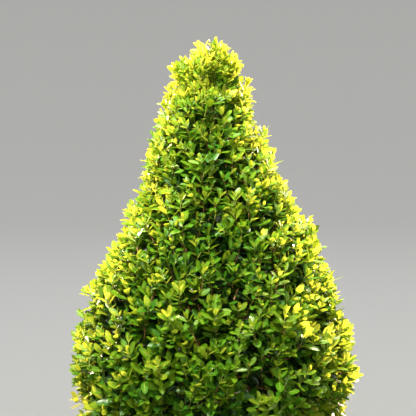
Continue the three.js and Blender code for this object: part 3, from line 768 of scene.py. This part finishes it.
def leaf_mesh(leaves):
    """Blades of few faces: rows of left edge, midrib and right edge, from a foot to a blunt tip."""
    u = np.concatenate([[0.0], np.repeat(LEAF_ROWS[:, 0], 3), [LEAF_TIP]])
    v = np.concatenate([[0.0], (LEAF_ROWS[:, 1:] * [-1, 0, 1]).ravel(), [0.0]])
    left = 1 + 3 * np.arange(len(LEAF_ROWS) - 1)[:, None]
    quads = np.concatenate([left + [0, 1, 4, 3], left + [1, 2, 5, 4]])
    last = 3 * len(LEAF_ROWS) - 2
    faces = np.vstack([
        [[0, 2, 1], [0, 3, 2]], quads[:, [0, 1, 2]], quads[:, [0, 2, 3]],
        [[last, last + 1, last + 3], [last + 1, last + 2, last + 3]],
    ])
    return copies(faces, on_leaves(leaves, u, v))


def midrib_mesh(leaves):
    """Thin strips that lie on the middle of leaves, and narrow from the foot to a point."""
    u = np.concatenate([np.repeat(MIDRIB_ROWS[:, 0], 2), [MIDRIB_TIP]])
    v = np.concatenate([(MIDRIB_ROWS[:, 1:] * [-1, 1]).ravel(), [0.0]])
    left = 2 * np.arange(len(MIDRIB_ROWS) - 1)[:, None]
    last = 2 * len(MIDRIB_ROWS)
    faces = np.vstack([left + [0, 1, 3], left + [0, 3, 2], [[last - 2, last - 1, last]]])
    return copies(faces, on_leaves(leaves, u, v, MIDRIB_ABOVE))


# Materials


def add_node(tree, kind, **values):
    """A shader node of one kind, with the values of some of its inputs."""
    node = tree.nodes.new("ShaderNode" + kind)
    for name, value in values.items():
        node.inputs[name].default_value = value
    return node


def add_mix(tree, blend_type):
    """A node that mixes colour A with colour B."""
    mix = tree.nodes.new("ShaderNodeMix")
    mix.data_type = "RGBA"
    mix.blend_type = blend_type
    return mix


def add_mask(tree, noise, low, high):
    """A mask of noise: 0 up to low, and 1 from high on."""
    steps = tree.nodes.new("ShaderNodeValToRGB")
    steps.color_ramp.elements[0].position = low
    steps.color_ramp.elements[1].position = high
    tree.links.new(noise.outputs["Fac"], steps.inputs["Fac"])
    return steps.outputs["Color"]


def new_group(name, inputs, outputs):
    """An empty shader node group with named sockets, and its nodes of inputs and outputs."""
    group = bpy.data.node_groups.new(name, "ShaderNodeTree")
    for way, sockets in (("INPUT", inputs), ("OUTPUT", outputs)):
        for socket, kind in sockets.items():
            group.interface.new_socket(socket, in_out=way, socket_type="NodeSocket" + kind)
    return group, group.nodes.new("NodeGroupInput"), group.nodes.new("NodeGroupOutput")


def leaf_group():
    """Dappled leaf: a tint that soft noise makes deeper here, and paler and yellower there."""
    group, given, made = new_group("dappled_leaf", {"Tint": "Color"}, {"Color": "Color"})
    link = group.links.new
    noise = add_node(group, "TexNoise", Scale=DAPPLE["scale"], Detail=DAPPLE["detail"])
    link(add_node(group, "TexCoord").outputs["Object"], noise.inputs["Vector"])
    mix = add_mix(group, "MIX")
    link(add_mask(group, noise, *DAPPLE["mask"]), mix.inputs["Factor"])
    for side, shade in (("A", "deeper"), ("B", "paler")):
        multiply = add_mix(group, "MULTIPLY")
        multiply.inputs["Factor"].default_value = 1
        multiply.inputs["B"].default_value = (*DAPPLE[shade], 1)
        link(given.outputs["Tint"], multiply.inputs["A"])
        link(multiply.outputs["Result"], mix.inputs[side])
    link(mix.outputs["Result"], made.inputs["Color"])
    return group


def bark_group():
    """Furrowed bark: noise stretched along the limb, as a mask of its ridges and as a height."""
    group, given, made = new_group(
        "furrowed_bark",
        {"Ridge": "Color", "Furrow": "Color", "Grain": "Float"},
        {"Color": "Color", "Height": "Float"},
    )
    link = group.links.new
    stretch = add_node(group, "Mapping", Scale=FURROW_NOISE["stretch"])
    noise = add_node(
        group, "TexNoise", Detail=FURROW_NOISE["detail"], Roughness=FURROW_NOISE["roughness"],
    )
    link(add_node(group, "TexCoord").outputs["Object"], stretch.inputs["Vector"])
    link(stretch.outputs["Vector"], noise.inputs["Vector"])
    link(given.outputs["Grain"], noise.inputs["Scale"])
    ridges = add_mask(group, noise, *FURROW_NOISE["mask"])
    mix = add_mix(group, "MIX")
    link(ridges, mix.inputs["Factor"])
    link(given.outputs["Furrow"], mix.inputs["A"])
    link(given.outputs["Ridge"], mix.inputs["B"])
    link(mix.outputs["Result"], made.inputs["Color"])
    link(ridges, made.inputs["Height"])
    return group


def shader(name, colour, roughness):
    """A material with a Principled BSDF, and that shader."""
    material = bpy.data.materials.new(name)
    material.use_nodes = True
    material.diffuse_color = (*colour, 1)
    principled = material.node_tree.nodes["Principled BSDF"]
    principled.inputs["Base Color"].default_value = (*colour, 1)
    principled.inputs["Roughness"].default_value = roughness
    return material, principled


def dappled_material(name, colour, roughness):
    """Green skin of one tint, dappled, and its shader."""
    material, principled = shader(name, colour, roughness)
    tree = material.node_tree
    dapple = tree.nodes.new("ShaderNodeGroup")
    dapple.node_tree = DAPPLED_LEAF
    dapple.inputs["Tint"].default_value = (*colour, 1)
    tree.links.new(dapple.outputs["Color"], principled.inputs["Base Color"])
    return material, principled


def leaf_material(name, colour):
    """Waxy leaf: a dappled tint that lets some light through as a yellower green, and more of it the
    greener the tint is. The light, its red and the share of the shader that lets it through are each
    base + rise x green of the tint, and its blue follows green^2."""
    material, principled = dappled_material(name, colour, LEAF_WAX["roughness"])
    principled.inputs["Specular IOR Level"].default_value = LEAF_WAX["specular"]
    tree = material.node_tree
    green = colour[1]
    light, red, share = (
        THROUGH[part][0] + THROUGH[part][1] * green for part in ("light", "red", "share")
    )
    lit = (red * light, THROUGH["green"] * light, THROUGH["blue"] * green**2, 1)
    translucent = add_node(tree, "BsdfTranslucent", Color=lit)
    mix = add_node(tree, "MixShader", Fac=share)
    tree.links.new(principled.outputs["BSDF"], mix.inputs[1])
    tree.links.new(translucent.outputs["BSDF"], mix.inputs[2])
    tree.links.new(mix.outputs["Shader"], tree.nodes["Material Output"].inputs["Surface"])
    return material


def bark_material(name, ridge, furrow, grain, relief, roughness):
    """Bark with paler ridges, darker furrows and a relief of some depth."""
    material, principled = shader(name, ridge, roughness)
    tree = material.node_tree
    group = tree.nodes.new("ShaderNodeGroup")
    group.node_tree = FURROWED_BARK
    group.inputs["Ridge"].default_value = (*ridge, 1)
    group.inputs["Furrow"].default_value = (*furrow, 1)
    group.inputs["Grain"].default_value = grain
    bump = add_node(tree, "Bump", Distance=relief)
    tree.links.new(group.outputs["Color"], principled.inputs["Base Color"])
    tree.links.new(group.outputs["Height"], bump.inputs["Height"])
    tree.links.new(bump.outputs["Normal"], principled.inputs["Normal"])
    return material


DAPPLED_LEAF = leaf_group()
FURROWED_BARK = bark_group()


# The plant's pieces

bark = bark_material("bark", **BARK)
add_piece("bark_trunk", *skin(trunk_rings()), bark, ["trunk"], "bark")
add_piece("bark_boughs", *skin(bough_rings()), bark, bough_nodes, "bark")

twigs = grow_twigs()
shoots = grow_shoots(twigs)
leaves = all_leaves(shoots, twigs)

old_stem = bark_material("old_stem", **OLD_STEM)
young_stem, _ = dappled_material("young_stem", **YOUNG_STEM)
add_piece("twigs_inner", *skin(twig_rings(twigs)), old_stem, foliage_nodes, "bark")
for name, low, high, girth, material in (
    ("shoots_woody", 0, SHOOT_GREEN_FROM, SHOOT_RADIUS[:2], old_stem),
    ("shoots_green", SHOOT_GREEN_FROM, 1, SHOOT_RADIUS[1:], young_stem),
):
    paths, girths = stem_paths(shoots, low, high, girth, SHOOT_MESH["rings"])
    rings = round_rings(paths, girths, SHOOT_MESH["sides"])
    add_piece(name, *skin(rings), material, foliage_nodes, "bark")

# Each leaf takes the tint of its youth and shade; the darkest tint is painted shade of the crown's
# inside.
tint_of = np.searchsorted(TINT_STEPS, leaves["youth_and_shade"])
for tint, (name, colour, slot) in enumerate(LEAF_TINTS):
    material = leaf_material(name, colour)
    mine = np.flatnonzero(tint_of == tint)
    parts = max(1, math.ceil(len(mine) / MOST_LEAVES))
    for part, some in enumerate(np.array_split(mine, parts), 1):
        blades = leaf_mesh(chosen_of(leaves, some))
        add_piece(f"{name}_{part}", *blades, material, foliage_nodes, slot)

midrib, _ = dappled_material("midrib", **MIDRIB)
ribbed = chosen_of(leaves, leaves["youth_and_shade"] > MIDRIB_FROM_YOUTH_AND_SHADE)
add_piece("midribs", *midrib_mesh(ribbed), midrib, foliage_nodes, "fresh_foliage")


# Floor, light and camera


def backdrop():
    """A pale floor that rises all round: the profile BOWL turned about the upright axis."""
    profile = spline(BOWL, BOWL_MESH["span_steps"])
    turn = circle(BOWL_MESH["sides"])[:, None]
    radius, height = profile[:, 0], profile[:, 1]
    points = np.stack([radius * np.cos(turn), radius * np.sin(turn), 0 * turn + height], axis=-1)
    spoke, step = np.meshgrid(np.arange(len(turn)), np.arange(len(profile) - 1), indexing="ij")
    a = spoke * len(profile) + step
    b = (spoke + 1) % len(turn) * len(profile) + step
    faces = np.stack([a, a + 1, b + 1, b], axis=-1).reshape(-1, 4)
    mesh = bpy.data.meshes.new("floor")
    mesh.from_pydata(points.reshape(-1, 3).tolist(), [], faces.tolist())
    mesh.validate()
    mesh.shade_smooth()
    material, _ = shader("pale_floor", **PALE_FLOOR)
    mesh.materials.append(material)
    floor = add_object("floor", mesh)
    lit_floor.objects.link(floor)


def area_light(name, place, aim, size, power, colour, beam, lit):
    """A square soft light that looks from place to aim, its beam as wide as an angle in degrees. It
    falls on the objects of one collection alone."""
    lamp = bpy.data.lights.new(name, "AREA")
    lamp.size = size
    lamp.energy = power
    lamp.color = colour
    lamp.spread = math.radians(beam)
    holder = add_object(name, lamp)
    holder.light_linking.receiver_collection = lit
    holder.location = place
    holder.rotation_euler = (Vector(aim) - Vector(place)).to_track_quat("-Z", "Y").to_euler()


def daylight():
    """Faint light from all round, and the view transform that keeps the leaves' bright greens."""
    world = bpy.data.worlds.new("daylight")
    world.use_nodes = True
    sky = world.node_tree.nodes["Background"]
    sky.inputs["Color"].default_value = (*SKY["colour"], 1)
    sky.inputs["Strength"].default_value = SKY["strength"]
    scene.world = world
    scene.view_settings.view_transform = "Standard"


def photo_camera():
    """A camera from which the plant stands in the frame as in the photo."""
    lens = bpy.data.cameras.new("camera")
    lens.sensor_fit = "HORIZONTAL"
    lens.angle = 2 * math.atan(PHOTO_WIDTH / 2 / CAMERA_DISTANCE)
    camera = add_object("camera", lens)
    away = Vector((0, -math.cos(CAMERA_ELEVATION), math.sin(CAMERA_ELEVATION)))
    camera.location = AIM + away * CAMERA_DISTANCE
    camera.rotation_euler = (-away).to_track_quat("-Z", "Y").to_euler()
    scene.camera = camera


backdrop()
for name, place, height, size, power, colour, beam in LAMPS:
    area_light(name, place, (0, 0, height), size, power, colour, beam, lit_plant)
area_light(
    "floor_panel", (0, 0, FLOOR_PANEL["height"]), (0, 0.001, 0), FLOOR_PANEL["size"],
    FLOOR_PANEL["power"], FLOOR_PANEL["colour"], FLOOR_PANEL["beam"], lit_floor,
)
daylight()
photo_camera()
